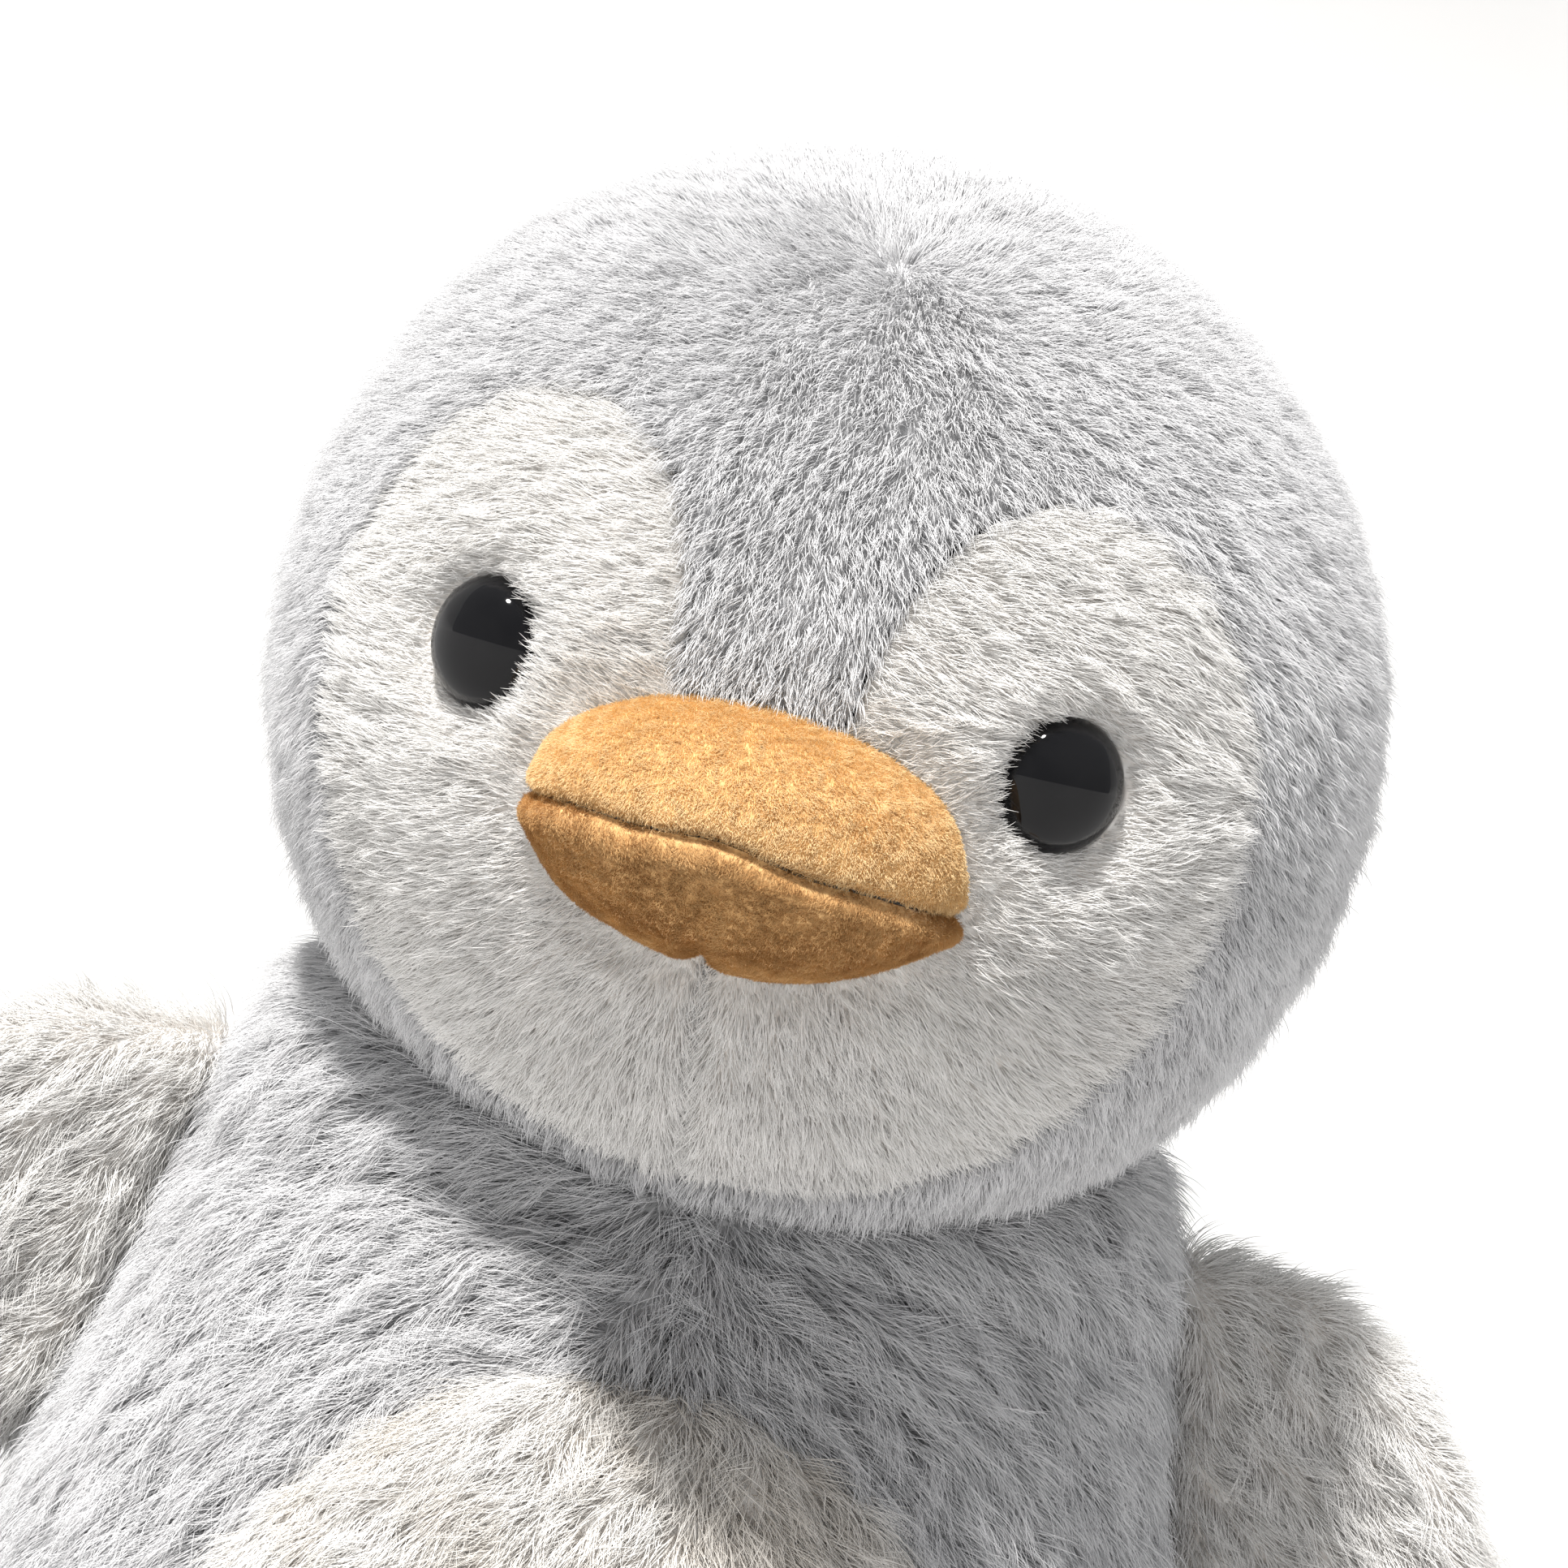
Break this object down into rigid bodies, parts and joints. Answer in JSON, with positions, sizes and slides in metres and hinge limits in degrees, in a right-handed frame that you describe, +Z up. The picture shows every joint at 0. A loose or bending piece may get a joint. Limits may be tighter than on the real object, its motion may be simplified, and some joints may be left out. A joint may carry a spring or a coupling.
{
  "type": "plush penguin",
  "caption": "Seated plush penguin with a round head, padded beak, stuffed wings and feet, and a weighted flat base; its head, wings and feet flex at their seams",
  "frame": {"origin": "middle of the flat base panel, on the surface that the toy sits on", "axes": "+Z up, -Y the way the toy's body faces, +X the toy's left"},
  "size_m": [0.2254, 0.2023, 0.2712],
  "materials": {
    "grey_fur": "matte",
    "cream_fur": "matte",
    "beak_velboa": "matte",
    "foot_velboa": "matte",
    "eye_gloss": "gloss",
    "washer_plastic": "satin",
    "fibre_stuffing": "matte",
    "pellet_bag_cloth": "matte",
    "seam_thread": "matte",
    "satin_label": "satin"
  },
  "bodies": {
    "torso": {"chest_left": "grey_fur", "chest_right": "grey_fur", "belly_patch": "cream_fur", "back_left": "grey_fur", "back_right": "grey_fur", "base_panel": "grey_fur", "torso_stuffing": "fibre_stuffing", "pellet_bag": "pellet_bag_cloth", "tail_top": "grey_fur", "tail_bottom": "grey_fur", "tail_stuffing": "fibre_stuffing", "care_label": "satin_label"},
    "neck": {"neck_stuffing": "fibre_stuffing", "neck_stitch_thread": "seam_thread"},
    "head": {"head_gusset": "grey_fur", "head_side_left": "grey_fur", "head_side_right": "grey_fur", "face_left": "cream_fur", "face_right": "cream_fur", "beak_upper": "beak_velboa", "beak_lower": "beak_velboa", "beak_stuffing": "fibre_stuffing", "eye_left": "eye_gloss", "eye_right": "eye_gloss", "eye_washer_left": "washer_plastic", "eye_washer_right": "washer_plastic", "head_stuffing": "fibre_stuffing"},
    "wing_left": {"wing_left_front": "cream_fur", "wing_left_back": "cream_fur", "wing_left_stuffing": "fibre_stuffing"},
    "wing_right": {"wing_right_front": "cream_fur", "wing_right_back": "cream_fur", "wing_right_stuffing": "fibre_stuffing"},
    "foot_left": {"foot_left_top": "foot_velboa", "foot_left_sole": "foot_velboa", "foot_left_stuffing": "fibre_stuffing"},
    "foot_right": {"foot_right_top": "foot_velboa", "foot_right_sole": "foot_velboa", "foot_right_stuffing": "fibre_stuffing"}
  },
  "joints": [
    {"name": "head_turn", "type": "hinge", "parent": "torso", "child": "neck", "pos_m": [0.001, -0.014, 0.204], "axis": [0, 0, 1], "range_deg": [-20, 32], "stiffness_Nm_per_rad": 0.4},
    {"name": "head_nod", "type": "hinge", "parent": "neck", "child": "head", "pos_m": [0.001, -0.014, 0.204], "axis": [0.9914, -0.1305, 0], "range_deg": [-9, 9], "stiffness_Nm_per_rad": 0.6},
    {"name": "wing_left_swing", "type": "hinge", "parent": "torso", "child": "wing_left", "pos_m": [0.074, 0, 0.12], "axis": [0.2384, 0, -0.9712], "range_deg": [-35, 50], "stiffness_Nm_per_rad": 0.05},
    {"name": "wing_right_swing", "type": "hinge", "parent": "torso", "child": "wing_right", "pos_m": [-0.074, 0, 0.12], "axis": [0.2384, 0, 0.9712], "range_deg": [-35, 50], "stiffness_Nm_per_rad": 0.05},
    {"name": "foot_left_lift", "type": "hinge", "parent": "torso", "child": "foot_left", "pos_m": [0.031, -0.065, 0.0065], "axis": [-0.9397, -0.342, 0], "range_deg": [0, 35], "stiffness_Nm_per_rad": 0.03},
    {"name": "foot_right_lift", "type": "hinge", "parent": "torso", "child": "foot_right", "pos_m": [-0.031, -0.065, 0.0065], "axis": [-0.9397, 0.342, 0], "range_deg": [0, 35], "stiffness_Nm_per_rad": 0.03}
  ]
}
